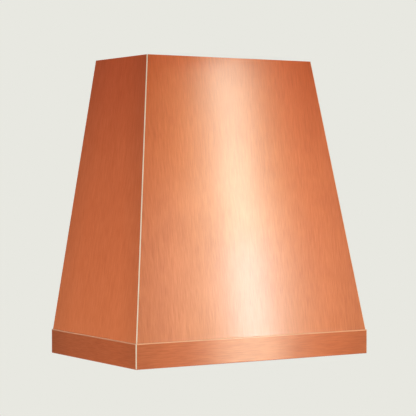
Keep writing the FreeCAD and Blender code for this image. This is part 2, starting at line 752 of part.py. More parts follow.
# Blower box of five sheets, open below: lid with the outlet, walls with a foot on the liner
lid_low = "(%s - %s)" % (box_top, sheet_t)
foot_top = "(%s + %s)" % (liner_top, sheet_t)
wall_x = "(%s + %s)" % (box_x, sheet_t)
lip_x = "(%s + %s)" % (box_x, box_lip)
bore_size = "(sizes.collar_size - 2 * sizes.collar_gauge)"
lid = new_body("blower_lid")
sheet_face = sketch(lid, "XY_Plane", lid_low)
rectangle(sheet_face, "-" + wall_x, wall_x, "%s - %s" % (box_y0, sheet_t),
          "%s + %s" % (box_y1, sheet_t))
circle(sheet_face, "0", "0", bore_size)
pad(lid, sheet_face, sheet_t)
piece(lid, "blower_lid")
BOX_WALLS = [
    ("front", "-" + wall_x, wall_x, "%s - %s" % (box_y0, sheet_t), box_y0,
     "-" + lip_x, lip_x, "%s - %s" % (box_y0, box_lip), box_y0),
    ("back", "-" + wall_x, wall_x, box_y1, "%s + %s" % (box_y1, sheet_t),
     "-" + lip_x, lip_x, box_y1, "%s + %s" % (box_y1, box_lip)),
    ("left", "-" + wall_x, "-" + box_x, box_y0, box_y1, "-" + lip_x, "-" + box_x, box_y0, box_y1),
    ("right", box_x, wall_x, box_y0, box_y1, box_x, lip_x, box_y0, box_y1),
]
for name, x0, x1, y0, y1, fx0, fx1, fy0, fy1 in BOX_WALLS:
    upright = block("blower_%s_wall" % name, x0, x1, y0, y1, liner_top, lid_low)
    foot = block("blower_%s_foot" % name, fx0, fx1, fy0, fy1, liner_top, foot_top)
    piece(fuse("blower_" + name, upright, foot), "blower_" + name)

# Scroll of four arcs about the wheel, with its mouth under the duct
step = size("scroll_step")
half_step = "(%s / 2)" % step
r1 = "(sizes.wheel_radius + sizes.tongue_gap + %s)" % half_step
r2 = "(%s + %s)" % (r1, step)
r3 = "(%s + 2 * %s)" % (r1, step)
axis_y = "(-%s / 2)" % r3
axis_z = "(%s + sizes.axis_height)" % liner_top
mouth = "(sizes.box_height - %s - sizes.axis_height)" % sheet_t
skin_t = size("scroll_gauge")
outer = [
    ("%s + %s + %s" % (half_step, r3, skin_t), mouth),
    ("%s + %s + %s" % (half_step, r3, skin_t), half_step),
    (half_step, "-%s - %s - %s" % (half_step, r2, skin_t), "%s + %s" % (r3, skin_t), -1),
    ("-%s - %s - %s" % (half_step, r1, skin_t), "-" + half_step, "%s + %s" % (r2, skin_t), -1),
    ("-%s - %s" % (half_step, skin_t),
     "-%s + sqrt((%s + %s)^2 - %s^2)" % (half_step, r1, skin_t, skin_t),
     "%s + %s" % (r1, skin_t), -1),
    ("-%s - %s" % (half_step, skin_t), mouth),
]
inner_line = [
    ("-" + half_step, mouth), ("-" + half_step, "-%s + %s" % (half_step, r1)),
    ("-%s - %s" % (half_step, r1), "-" + half_step, r1, 1),
    (half_step, "-%s - %s" % (half_step, r2), r2, 1),
    ("%s + %s" % (half_step, r3), half_step, r3, 1), ("%s + %s" % (half_step, r3), mouth),
]
wrap = new_body("scroll_wrap")
pad(wrap, outline(sketch(wrap, "YZ_Plane"), outer + inner_line), size("scroll_width"), "both")
put(wrap, "0", axis_y, axis_z)
piece(wrap, "scroll_wrap")
for name, sign in (("left", -1), ("right", 1)):
    side = new_body("scroll_side_" + name)
    face = outline(sketch(side, "YZ_Plane"), outer)
    circle(face, "0", "0", size("inlet_size"))
    pad(side, face, skin_t, "up" if sign > 0 else "down")
    put(side, "%d * sizes.scroll_width / 2" % sign, axis_y, axis_z)
    piece(side, "scroll_side_" + name)

# Squirrel-cage wheel: middle plate with its hub, end rings, forward-curved blades between them
wheel = new_body("impeller")
wheel_r = size("wheel_radius")
blade_in = "(%s - sizes.blade_depth)" % wheel_r
plate_t = size("wheel_plate")
disc = circle(sketch(wheel, "YZ_Plane"), "0", "0", "2 * " + wheel_r)
pad(wheel, disc, plate_t, "both")
hub = circle(sketch(wheel, "YZ_Plane"), "0", "0", "2 * sizes.hub_radius")
pad(wheel, hub, size("hub_length"), "both")
shaft_bore = circle(sketch(wheel, "YZ_Plane"), "0", "0", "sizes.shaft_size")
pocket(wheel, shaft_bore)
put(wheel, "0", axis_y, axis_z)
piece(wheel, "impeller")
lean = "(sizes.blade_depth * 0.45)"
thick = size("blade_gauge")
blade_root = "(%s + 0.6)" % blade_in
blade_tip = "(%s - 0.8)" % wheel_r
curve = "(sizes.blade_depth * 0.75)"
rings = []
vanes = []
for name, way in (("left", "down"), ("right", "up")):
    sign = "-1 * " if way == "down" else ""
    ring = new_body("wheel_ring_" + name)
    ends = sketch(ring, "YZ_Plane", "%s(sizes.wheel_width / 2 - %s)" % (sign, plate_t))
    circle(ends, "0", "0", "2 * " + wheel_r)
    circle(ends, "0", "0", "2 * " + blade_in)
    pad(ring, ends, plate_t, way)
    rings.append(put(ring, "0", axis_y, axis_z))
    row = new_body("wheel_blades_" + name)
    blade = outline(sketch(row, "YZ_Plane", "%s(%s / 2)" % (sign, plate_t)), [
        (blade_root, "0"), (blade_tip, lean, curve, 1),
        ("%s - %s" % (blade_tip, thick), "%s + %s" % (lean, thick)),
        (blade_root, thick, "%s - %s" % (curve, thick), -1)])
    vane = pad(row, blade, "sizes.wheel_width / 2 - 1.5 * %s" % plate_t, way)
    polar(row, vane, blade, "N_Axis", 36)
    vanes.append(put(row, "0", axis_y, axis_z))
piece(group("impeller_rings", rings), "impeller_rings")
piece(group("impeller_blades", vanes), "impeller_blades")

# Motor in the right-hand inlet, on a four-armed bracket
motor_start = "(sizes.hub_length / 2 + sizes.motor_gap)"
motor_r = "(sizes.motor_size / 2)"
bracket_x = "(sizes.scroll_width / 2 + %s)" % skin_t
flange_x = "(%s + sizes.bracket_gauge)" % bracket_x
motor_end = "(%s + sizes.motor_length)" % motor_start
shaft_out = "(sizes.shaft_size / 2 + sizes.running_clearance)"
motor = turned("motor_body", [
    (motor_start, shaft_out), (motor_start, "%s * 0.35" % motor_r),
    ("%s + 6" % motor_start, "%s * 0.8" % motor_r), ("%s + 12" % motor_start, motor_r),
    (flange_x, motor_r), (flange_x, "%s + 8" % motor_r),
    ("%s + 3" % flange_x, "%s + 8" % motor_r), ("%s + 3" % flange_x, motor_r),
    ("%s - 4" % motor_end, motor_r), (motor_end, "%s * 0.85" % motor_r),
    (motor_end, "0"), ("%s - 12" % motor_end, "0"), ("%s - 12" % motor_end, shaft_out)], "H_Axis")
put(motor, "0", axis_y, axis_z)
piece(motor, "motor_body")
shaft = rod("motor_spindle", "sizes.shaft_size / 2",
            "%s - 14 + sizes.hub_length / 2" % motor_end, "-sizes.hub_length / 2",
            axis_y, axis_z, "x")
piece(shaft, "motor_shaft")
bracket = new_body("motor_bracket")
arm = "(sizes.bracket_arm / 2)"
reach = size("bracket_reach")
cross = outline(sketch(bracket, "YZ_Plane"), [
    (reach, "-" + arm), (reach, arm), (arm, arm), (arm, reach), ("-" + arm, reach),
    ("-" + arm, arm), ("-" + reach, arm), ("-" + reach, "-" + arm), ("-" + arm, "-" + arm),
    ("-" + arm, "-" + reach), (arm, "-" + reach), (arm, "-" + arm)])
pad(bracket, cross, size("bracket_gauge"))
web = circle(sketch(bracket, "YZ_Plane"), "0", "0", "sizes.motor_size + 24")
pad(bracket, web, size("bracket_gauge"))
pocket(bracket, circle(sketch(bracket, "YZ_Plane"), "0", "0", "sizes.motor_size + 0.4"))
put(bracket, bracket_x, axis_y, axis_z)
piece(bracket, "motor_bracket")

# Duct collar with stops for the damper
collar_r = "(sizes.collar_size / 2)"
bore_r = "(%s / 2)" % bore_size
collar_low = box_top
tube = rod("collar_tube", collar_r, "sizes.collar_height", "0", "0", collar_low)
plate_half = "(sizes.collar_plate / 2)"
plate = block("collar_base", "-" + plate_half, plate_half, "-" + plate_half, plate_half,
              collar_low, "%s + sizes.collar_gauge" % collar_low)
hollow = rod("collar_bore", bore_r, "sizes.collar_height + 2", "0", "0", "%s - 1" % collar_low)
damper_z = "(%s + sizes.damper_height)" % collar_low
pin_r = "(sizes.damper_pin / 2)"
flap_low = "(%s - sizes.damper_gauge / 2)" % damper_z
pin_hole = rod("collar_pin_hole", "%s + sizes.running_clearance" % pin_r,
               "sizes.collar_size + 10", "-%s - 5" % collar_r, "0", damper_z, "x")
shell = cut("collar_shell", fuse("collar_blank", tube, plate), hollow, pin_hole)
stops = []
for i, sign in enumerate((-1, 1)):
    middle = "%d * (%s - sizes.stop_depth / 2 + 0.5)" % (sign, bore_r)
    stops.append(block("collar_stop%d" % i, "-6", "6", "%s - sizes.stop_depth / 2" % middle,
                       "%s + sizes.stop_depth / 2" % middle, "%s - 3" % flap_low, flap_low))
piece(fuse("collar_whole", shell, *stops), "duct_collar")
pin_reach = "(%s - sizes.running_clearance)" % collar_r
piece(rod("damper_rod", pin_r, "2 * " + pin_reach, "-" + pin_reach, "0", damper_z, "x"),
      "damper_pin")

# Damper flaps: half discs with knuckles on the pin
knuckle_bore = "(%s + sizes.running_clearance)" % pin_r
knuckle_r = "(%s + sizes.knuckle_wall)" % knuckle_bore
flap_r = "(%s - sizes.damper_gap)" % bore_r
flap_edge = "(%s + sizes.knuckle_gap)" % knuckle_r
gap = size("knuckle_gap")
long = size("knuckle_length")
KNUCKLES = {"front": ["-1.5 * (%s + %s)" % (long, gap), "0.5 * (%s + %s)" % (long, gap)],
            "back": ["-0.5 * (%s + %s)" % (long, gap), "1.5 * (%s + %s)" % (long, gap)]}
for name, sign in (("front", -1), ("back", 1)):
    half_disc = rod("flap_%s_disc" % name, flap_r, "sizes.damper_gauge", "0", "0", flap_low)
    if sign < 0:
        y0, y1 = "-" + flap_edge, "%s + 2" % flap_r
    else:
        y0, y1 = "-%s - 2" % flap_r, flap_edge
    away = block("flap_%s_away" % name, "-%s - 2" % flap_r, "%s + 2" % flap_r, y0, y1,
                 "%s - 2" % flap_low, "%s + 4" % flap_low)
    parts = [cut("flap_%s_half" % name, half_disc, away)]
    for i, middle in enumerate(KNUCKLES[name]):
        x0 = "%s - %s / 2" % (middle, long)
        parts.append(rod("flap_%s_tube%d" % (name, i), knuckle_r, long, x0, "0", damper_z, "x"))
        web_y = ("-%s - 1" % flap_edge, "0") if sign < 0 else ("0", "%s + 1" % flap_edge)
        parts.append(block("flap_%s_web%d" % (name, i), x0, "%s + %s" % (x0, long),
                           web_y[0], web_y[1], flap_low, "%s + sizes.damper_gauge" % flap_low))
    bore = rod("flap_%s_bore" % name, knuckle_bore, "sizes.collar_size", "-" + collar_r, "0",
               damper_z, "x")
    piece(cut("flap_%s" % name, fuse("flap_%s_blank" % name, *parts), bore), "damper_" + name)

# Junction box with cover and gland, capacitor and lamp driver, on the blower box
jx0 = "-sizes.junction_offset - sizes.junction_length / 2"
jx1 = "-sizes.junction_offset + sizes.junction_length / 2"
jy0, jy1 = "-sizes.junction_depth / 2", "sizes.junction_depth / 2"
jt = size("junction_gauge")
jz1 = "%s + sizes.junction_height" % box_top
case = block("junction_case", jx0, jx1, jy0, jy1, box_top, jz1)
space = block("junction_space", "%s + %s" % (jx0, jt), "%s - %s" % (jx1, jt), "%s + %s" % (jy0, jt),
              "%s - %s" % (jy1, jt), "%s + %s" % (box_top, jt), "%s + 1" % jz1)
gland_z = "%s + sizes.junction_height / 2" % box_top
gland_r = "(sizes.gland_size / 2)"
entry = rod("junction_entry", "%s * 0.7" % gland_r, "sizes.junction_gauge + 4", "%s - 2" % jx0, "0",
            gland_z, "x")
piece(cut("junction_shell", case, space, entry), "junction_box")
piece(block("junction_lid", "%s - 1" % jx0, "%s + 1" % jx1, "%s - 1" % jy0, "%s + 1" % jy1, jz1,
            "%s + %s" % (jz1, jt)), "junction_cover")
gland_out = rod("gland_nut", gland_r, "sizes.gland_length", "%s - sizes.gland_length" % jx0, "0",
                gland_z, "x")
gland_in = rod("gland_neck", "%s * 0.7 - 0.1" % gland_r, "%s + 5" % jt, jx0, "0", gland_z, "x")
gland_way = rod("gland_way", "sizes.gland_bore / 2", "sizes.gland_length + %s + 12" % jt,
                "%s - sizes.gland_length - 2" % jx0, "0", gland_z, "x")
piece(cut("gland", fuse("gland_blank", gland_out, gland_in), gland_way), "cable_gland")
can_r = "(sizes.capacitor_size / 2)"
capacitor = turned("capacitor", [
    ("0", "0"), (can_r, "0"), (can_r, "sizes.capacitor_height - 3"),
    ("%s - 3" % can_r, "sizes.capacitor_height"), ("0", "sizes.capacitor_height")])
put(capacitor, "sizes.junction_offset", "-sizes.junction_depth / 2", box_top)
piece(capacitor, "capacitor")
piece(block("driver_case", "sizes.junction_offset - sizes.driver_length / 2",
            "sizes.junction_offset + sizes.driver_length / 2", "sizes.junction_depth / 2",
            "sizes.junction_depth / 2 + sizes.driver_depth", box_top,
            "%s + sizes.driver_height" % box_top), "lamp_driver")

doc.recompute()
faults = []
for obj in doc.Objects:
    if "Invalid" in obj.State or "Error" in obj.State:
        faults.append("%s (%s): %s" % (obj.Name, obj.Label, ", ".join(obj.State)))
for obj in pieces:
    if obj.Shape.isNull() or not obj.Shape.isValid() or not obj.Shape.Solids:
        faults.append("%s has no sound solid" % obj.Label)
if faults:
    raise RuntimeError("\n".join(faults))
os.makedirs("parts", exist_ok=True)
for obj in pieces:
    obj.Shape.exportStep(os.path.join("parts", obj.Label + ".step"))
print("%d pieces written" % len(pieces))
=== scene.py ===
"""Looks of the pyramid range hood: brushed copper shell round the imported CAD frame."""
import math

import bmesh
import bpy
from mathutils import Matrix, Vector


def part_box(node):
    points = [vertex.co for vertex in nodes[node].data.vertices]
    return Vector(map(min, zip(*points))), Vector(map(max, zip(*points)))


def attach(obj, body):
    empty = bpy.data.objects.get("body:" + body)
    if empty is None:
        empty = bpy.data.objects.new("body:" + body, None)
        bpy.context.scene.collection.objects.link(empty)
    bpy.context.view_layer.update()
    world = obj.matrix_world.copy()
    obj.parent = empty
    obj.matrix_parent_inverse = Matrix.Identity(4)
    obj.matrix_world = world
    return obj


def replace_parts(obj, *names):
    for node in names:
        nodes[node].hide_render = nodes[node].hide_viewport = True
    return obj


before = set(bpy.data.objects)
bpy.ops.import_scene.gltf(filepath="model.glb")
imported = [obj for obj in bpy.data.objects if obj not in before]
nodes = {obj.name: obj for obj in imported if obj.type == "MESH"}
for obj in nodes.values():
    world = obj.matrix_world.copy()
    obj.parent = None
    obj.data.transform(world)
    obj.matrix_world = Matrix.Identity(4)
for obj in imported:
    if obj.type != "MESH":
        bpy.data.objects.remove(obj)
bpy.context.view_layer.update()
scene = bpy.context.scene
AXES = "xyz"


# Node helpers
class Graph:
    """A node tree, emptied first, with short calls for the nodes used here."""

    MIX_SOCKETS = (0, 6, 7)
    MIX_RESULT = 2

    def __init__(self, tree):
        self.tree = tree
        tree.nodes.clear()

    def node(self, kind, **settings):
        made = self.tree.nodes.new(kind)
        for key, value in settings.items():
            setattr(made, key, value)
        return made

    def link(self, source, target):
        self.tree.links.new(source, target)

    def feed(self, socket, value):
        """Sets a socket to a number or a colour, or links it to the output of another node."""
        if isinstance(value, (int, float)):
            socket.default_value = value
        elif isinstance(value, tuple):
            socket.default_value = value + (1.0,)
        else:
            self.link(value, socket)

    def span(self, value, low, high, start=0.0, stop=1.0, ease="LINEAR"):
        """Carries a value that runs from start to stop over to a run from low to high."""
        made = self.node("ShaderNodeMapRange", interpolation_type=ease)
        limits = {"From Min": start, "From Max": stop, "To Min": low, "To Max": high}
        for key, limit in limits.items():
            made.inputs[key].default_value = limit
        self.link(value, made.inputs["Value"])
        return made.outputs[0]

    def math(self, operation, first, second=0.0):
        made = self.node("ShaderNodeMath", operation=operation)
        self.feed(made.inputs[0], first)
        self.feed(made.inputs[1], second)
        return made.outputs[0]

    def weigh(self, *parts):
        """The sum of some values, each times its weight."""
        total = None
        for value, weight in parts:
            share = self.math("MULTIPLY", value, weight)
            total = share if total is None else self.math("ADD", total, share)
        return total

    def mix(self, factor, first, second, blend="MIX"):
        made = self.node("ShaderNodeMix", data_type="RGBA", blend_type=blend)
        for number, value in zip(self.MIX_SOCKETS, (factor, first, second)):
            self.feed(made.inputs[number], value)
        return made.outputs[self.MIX_RESULT]


class Shader(Graph):
    """A material whose nodes feed one Principled surface. Its sockets are named with _ for a space."""

    def __init__(self, name):
        self.material = bpy.data.materials.new(name)
        self.material.use_nodes = True
        super().__init__(self.material.node_tree)
        self.out = self.node("ShaderNodeOutputMaterial")
        self.bsdf = self.node("ShaderNodeBsdfPrincipled")
        self.link(self.bsdf.outputs[0], self.out.inputs[0])

    def set(self, **values):
        for key, value in values.items():
            self.bsdf.inputs[key.replace("_", " ")].default_value = value

    def drive(self, **sources):
        for key, source in sources.items():
            self.link(source, self.bsdf.inputs[key.replace("_", " ")])

    def place(self, scale=(1.0, 1.0, 1.0)):
        coords = self.node("ShaderNodeTexCoord")
        mapping = self.node("ShaderNodeMapping")
        mapping.inputs["Scale"].default_value = scale
        self.link(coords.outputs["Object"], mapping.inputs["Vector"])
        return mapping.outputs[0]

    def noise(self, scale, detail=3.0, rough=0.5):
        """Noise with as many cells per metre as the scale says, all ways or for each axis."""
        made = self.node("ShaderNodeTexNoise")
        made.inputs["Scale"].default_value = 1.0
        made.inputs["Detail"].default_value = detail
        made.inputs["Roughness"].default_value = rough
        scale = scale if isinstance(scale, tuple) else (scale, scale, scale)
        self.link(self.place(scale), made.inputs["Vector"])
        return made.outputs["Fac"]

    def ramp(self, value, stops):
        made = self.node("ShaderNodeValToRGB")
        band = made.color_ramp.elements
        while len(band) < len(stops):
            band.new(0.5)
        for element, (position, colour) in zip(band, stops):
            element.position = position
            element.color = tuple(colour) + (1.0,)
        self.link(value, made.inputs["Fac"])
        return made.outputs["Color"]

    def bump(self, height, strength, distance):
        made = self.node("ShaderNodeBump")
        made.inputs["Strength"].default_value = strength
        made.inputs["Distance"].default_value = distance
        self.link(height, made.inputs["Height"])
        self.drive(Normal=made.outputs[0])
        return made.outputs[0]

    def spread_along(self, axis):
        made = self.node("ShaderNodeCombineXYZ")
        made.inputs[AXES.index(axis)].default_value = 1.0
        self.drive(Tangent=made.outputs[0])


def paint(material, *names):
    for name in names:
        mesh = nodes[name].data
        mesh.materials.clear()
        mesh.materials.append(material)


def strokes(across, fine, coarse):
    """Noise scales for brush strokes: fine across them, and coarse along the other two axes."""
    return tuple(fine if axis == across else coarse for axis in AXES)


# Copper
COPPER_TONES = ((0.73, 0.172, 0.050), (0.80, 0.200, 0.062), (0.86, 0.226, 0.076))
TONE_STOPS = (0.33, 0.5, 0.67)
# Lighter copper for the painted highlight along a band's fold
COPPER_FOLD_HIGHLIGHT = (1.0, 0.56, 0.36)
COPPER_BRUSH = {"fine": 320.0, "coarse": 20.0}
COPPER_STREAK = {"fine": 60.0, "coarse": 4.0}
COPPER_CLOUD = 9.0
BRUSH_SHARE = 0.74
STREAK_SHARE = 0.06
CLOUD_SHARE = 0.20
# Painted shade and light by height on the panels: deeper towards the top, paler towards the foot, and a
# further painted shade over the top
PAINTED_SHADE_TOP = (1.0, 0.80, 0.68)
PAINTED_LIGHT_FOOT = (0.98, 1.13, 1.27)
PANEL_LOW = -0.93
TOP_SHADE = (0.94, 0.80, 0.66)
TOP_SHADE_LOW = -0.35
EDGE_SHADE = 0.88
EDGE_REACH = 0.13
FOLD_START = 0.0042
FOLD_STOP = 0.0022
PANEL_ROUGHNESS = 0.56
BAND_ROUGHNESS = 0.58
COPPER_PLAY = 0.04
# Painted shade towards both ends of an axis. Each edge: axis, half width at the top, gain per metre
# down, centre shift per metre down
FRONT_EDGE = ("x", 0.328, 0.1396, 0.0)
SIDE_EDGE = ("y", 0.1775, 0.128, -0.0379)
BAND_WIDE_EDGE = ("x", 0.4572, 0.0, 0.0)
BAND_DEEP_EDGE = ("y", 0.296, 0.0, -0.0362)


def brushed_copper(name, across, edge, roughness, painted_light_scale=1.0, hem=None):
    """Lacquered copper brushed square to one axis, with painted shade that deepens its tone towards both
    ends of the edge's axis.
    A panel also has painted shade that deepens it towards its top and painted light that pales it
    towards its foot. A band, which gives the height of its hem, has a painted highlight along the fold
    there."""
    made = Shader(name)
    brush = made.noise(strokes(across, **COPPER_BRUSH), rough=0.6)
    streak = made.noise(strokes(across, **COPPER_STREAK), detail=2.0)
    cloud = made.noise(COPPER_CLOUD, rough=0.55)
    lines = made.weigh((brush, BRUSH_SHARE), (streak, STREAK_SHARE), (cloud, CLOUD_SHARE))
    # Painted light and shade: the tones are scaled for each side's copy of the material
    tones = [tuple(part * painted_light_scale for part in tone) for tone in COPPER_TONES]
    tone = made.ramp(lines, list(zip(TONE_STOPS, tones)))

    # Painted shade: the tone deepens towards both ends of the edge's axis
    axis, half, gain, shift = edge
    axes = made.node("ShaderNodeSeparateXYZ")
    made.link(made.place(), axes.inputs[0])
    place, height = axes.outputs[AXES.index(axis)], axes.outputs["Z"]
    middle = made.math("ADD", place, made.math("MULTIPLY", height, shift))
    reach = made.math("SUBTRACT", half, made.math("MULTIPLY", height, gain))
    inside = made.math("SUBTRACT", reach, made.math("ABSOLUTE", middle))
    shade = made.span(inside, EDGE_SHADE, 1.0, stop=EDGE_REACH)
    tone = made.mix(1.0, tone, shade, "MULTIPLY")
    if hem is None:
        # Painted shade deepens a panel towards its top and painted light pales it towards its foot
        painted_height_shading = made.mix(made.span(height, 0.0, 1.0, PANEL_LOW, 0.0), PAINTED_LIGHT_FOOT, PAINTED_SHADE_TOP)
        tone = made.mix(1.0, tone, painted_height_shading, "MULTIPLY")
        # A further painted shade over the top of the panel
        rise = made.span(height, 0.0, 1.0, TOP_SHADE_LOW, 0.0)
        tone = made.mix(1.0, tone, made.mix(rise, (1.0, 1.0, 1.0), TOP_SHADE), "MULTIPLY")
    else:
        # Painted highlight: a lighter line along the fold of the hem
        fold_highlight = made.span(height, 0.0, 1.0, hem - FOLD_START, hem - FOLD_STOP)
        tone = made.mix(fold_highlight, tone, COPPER_FOLD_HIGHLIGHT)

    sheen = made.span(lines, roughness + COPPER_PLAY, roughness - COPPER_PLAY, start=0.35, stop=0.65)
    lacquer = made.span(lines, low=0.87, high=1.0, start=0.37, stop=0.63)
    grain = made.bump(brush, strength=0.2, distance=0.0001)
    made.spread_along(across)
    made.set(Metallic=1.0, Anisotropic=0.5, Coat_Roughness=0.14, Coat_IOR=1.7)
    made.drive(Base_Color=tone, Roughness=sheen, Coat_Weight=lacquer, Coat_Normal=grain)
    return made.material


hem_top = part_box("apron_front")[1][2]
paint(brushed_copper("copper_front", "x", FRONT_EDGE, PANEL_ROUGHNESS), "front_panel", "back_panel")
paint(brushed_copper("copper_side", "y", SIDE_EDGE, PANEL_ROUGHNESS), "left_panel", "right_panel")
# The bands carry painted shade and light: the front and back bands 7 % darker, the side bands 3 %
# lighter
paint(brushed_copper("copper_band_wide", "z", BAND_WIDE_EDGE, BAND_ROUGHNESS, painted_light_scale=0.93, hem=hem_top),
      "apron_front", "apron_back")
paint(brushed_copper("copper_band_deep", "z", BAND_DEEP_EDGE, BAND_ROUGHNESS, painted_light_scale=1.03, hem=hem_top),
      "apron_left", "apron_right")

# Polished seams, whose pale cream tone is a painted highlight along the corners
SEAM_HIGHLIGHT_DEEP = (0.97, 0.84, 0.68)
SEAM_HIGHLIGHT_PALE = (1.0, 0.92, 0.80)
SEAM_CLOUD = (60.0, 60.0, 14.0)
SEAM_SCUFF = (200.0, 200.0, 40.0)
seam = Shader("copper_seam")
seam_highlight_tone = seam.ramp(seam.noise(SEAM_CLOUD), [(0.3, SEAM_HIGHLIGHT_DEEP), (0.7, SEAM_HIGHLIGHT_PALE)])
seam_sheen = seam.span(seam.noise(SEAM_SCUFF, detail=2.0), low=0.34, high=0.46)
seam.set(Metallic=0.5)
seam.drive(Base_Color=seam_highlight_tone, Roughness=seam_sheen)
paint(seam.material, "corner_seams", "apron_seams")

# Brushed steel
STEEL_BRUSH = {"fine": 500.0, "coarse": 6.0}
STEEL_SMEAR = 9.0
STEEL_PLAY = 0.08


def brushed_steel(name, across, light, dark, roughness):
    made = Shader(name)
    brush = made.noise(strokes(across, **STEEL_BRUSH), rough=0.6)
    lines = made.weigh((brush, 0.7), (made.noise(STEEL_SMEAR), 0.3))
    tone = made.ramp(lines, [(0.32, dark), (0.68, light)])
    sheen = made.span(lines, roughness + STEEL_PLAY, roughness - STEEL_PLAY, start=0.3, stop=0.7)
    made.bump(brush, strength=0.2, distance=0.0001)
    made.set(Metallic=1.0)
    made.drive(Base_Color=tone, Roughness=sheen)
    return made.material


liner_steel = brushed_steel("liner_steel", "y", (0.68, 0.68, 0.67), (0.52, 0.52, 0.51), roughness=0.3)
filter_steel = brushed_steel("filter_steel", "x", (0.64, 0.64, 0.64), (0.47, 0.47, 0.47), roughness=0.34)
knob_steel = brushed_steel("knob_steel", "z", (0.6, 0.6, 0.59), (0.42, 0.42, 0.41), roughness=0.28)
bright = brushed_steel("bright_steel", "x", (0.8, 0.8, 0.79), (0.68, 0.68, 0.67), roughness=0.18)
paint(liner_steel, "liner_pan", "filter_lugs", "filter_clips")
paint(filter_steel, *[name for name in nodes if name.startswith("filter_") and
                      ("frame" in name or "baffles" in name)])
paint(knob_steel, "fan_knob", "light_knob")
paint(bright, "liner_screws", "lamp_bezels", "damper_pin", "motor_shaft", "fan_knob_shaft",
      "light_knob_shaft", *[name for name in nodes if name.endswith("_handle")])

# Galvanised sheet with its spangle
ZINC_LIGHT = (0.66, 0.68, 0.69)
ZINC_DARK = (0.42, 0.44, 0.45)
SPANGLE = 70.0
STAIN = 6.0
zinc = Shader("galvanised")
cells = zinc.node("ShaderNodeTexVoronoi", feature="F1")
cells.inputs["Scale"].default_value = 1.0
zinc.link(zinc.place((SPANGLE, SPANGLE, SPANGLE)), cells.inputs["Vector"])
spangle = zinc.node("ShaderNodeSeparateColor")
zinc.link(cells.outputs["Color"], spangle.inputs[0])
stain = zinc.noise(STAIN, detail=4.0, rough=0.6)
flake = zinc.weigh((spangle.outputs[0], 0.5), (stain, 0.5))
zinc.set(Metallic=1.0)
zinc.drive(Base_Color=zinc.ramp(flake, [(0.2, ZINC_DARK), (0.8, ZINC_LIGHT)]),
           Roughness=zinc.span(flake, low=0.5, high=0.32))
paint(zinc.material, "duct_collar", "junction_box", "junction_cover", "motor_bracket",
      "damper_front", "damper_back",
      *[name for name in nodes if name.startswith(("blower_", "scroll_", "impeller"))])

# Paint, mouldings, drawn cans and ink
PATCH = 12.0
COAT_PLAY = 0.08


def coated(name, light, dark, roughness, grain, depth, metallic=0.0):
    """A coat with specks, as many per metre as the grain says, that stand as high as the depth."""
    made = Shader(name)
    speck = made.noise(grain, rough=0.6)
    both = made.weigh((speck, 0.5), (made.noise(PATCH), 0.5))
    sheen = made.span(both, roughness + COAT_PLAY, roughness - COAT_PLAY, start=0.3, stop=0.7)
    made.bump(speck, strength=0.3, distance=depth)
    made.set(Metallic=metallic)
    made.drive(Base_Color=made.ramp(both, [(0.3, dark), (0.7, light)]), Roughness=sheen)
    return made.material


primer = coated("frame_primer", (0.10, 0.10, 0.105), (0.06, 0.06, 0.065),
                roughness=0.5, grain=300.0, depth=0.0002)
moulding = coated("black_moulding", (0.03, 0.03, 0.033), (0.018, 0.018, 0.02),
                  roughness=0.42, grain=900.0, depth=0.0001)
enamel = coated("motor_enamel", (0.06, 0.065, 0.07), (0.035, 0.04, 0.045),
                roughness=0.35, grain=250.0, depth=0.0002)
can = coated("drawn_can", (0.72, 0.73, 0.74), (0.6, 0.61, 0.62),
             roughness=0.3, grain=120.0, depth=0.0001, metallic=1.0)
ink = coated("dial_ink", (0.035, 0.035, 0.038), (0.02, 0.02, 0.022),
             roughness=0.55, grain=600.0, depth=0.0001)
paint(primer, "base_frame", "ceiling_frame", "corner_posts")
paint(moulding, "fan_switch", "light_dimmer", "lamp_driver", "cable_gland")
paint(enamel, "motor_body")
paint(can, "capacitor", "lamp_housings")

# Frosted lamp lenses
FROST = 400.0
FROST_LIGHT = (0.94, 0.93, 0.89)
FROST_DARK = (0.86, 0.85, 0.8)
lens = Shader("lamp_frost")
frost = lens.noise(FROST, rough=0.6)
lens.bump(frost, strength=0.2, distance=0.0002)
lens.set(Transmission_Weight=0.35, IOR=1.5)
lens.drive(Base_Color=lens.ramp(frost, [(0.3, FROST_DARK), (0.7, FROST_LIGHT)]),
           Roughness=lens.span(frost, low=0.3, high=0.5))
paint(lens.material, "lamp_lenses")


# Shapes of the small pieces
def add_piece(name, shape, material, body, smooth=True):
    bmesh.ops.recalc_face_normals(shape, faces=shape.faces[:])
    mesh = bpy.data.meshes.new(name)
    shape.to_mesh(mesh)
    shape.free()
    for face in mesh.polygons:
        face.use_smooth = smooth
    mesh.materials.append(material)
    made = bpy.data.objects.new(name, mesh)
    scene.collection.objects.link(made)
    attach(made, body)
    return made


def polar(centre, radius, degrees):
    angle = math.radians(degrees)
    return (centre[0] + radius * math.cos(angle), centre[1] + radius * math.sin(angle))


def turned(shape, profile, centre, steps, turn=0.0, sink=None):
    """A closed form turned about the upright through centre, from a profile of points (radius,
    height) that starts and ends on it. A sink may lift some of the points."""
    rings = []
    for radius, height in profile:
        ring = []
        for step in range(steps if radius else 1):
            x, y = polar((0.0, 0.0), radius, 360.0 * step / steps)
            z = height + (sink(x, y, height) if sink else 0.0)
            spot = Matrix.Rotation(turn, 3, "Z") @ Vector((x, y, z))
            ring.append(shape.verts.new(Vector(centre) + spot))
        rings.append(ring)
    for near, far in zip(rings, rings[1:]):
        for step in range(steps):
            after = step + 1
            loop = (near[step % len(near)], near[after % len(near)],
                    far[after % len(far)], far[step % len(far)])
            loop = list(dict.fromkeys(loop))
            if len(loop) > 2:
                shape.faces.new(loop)


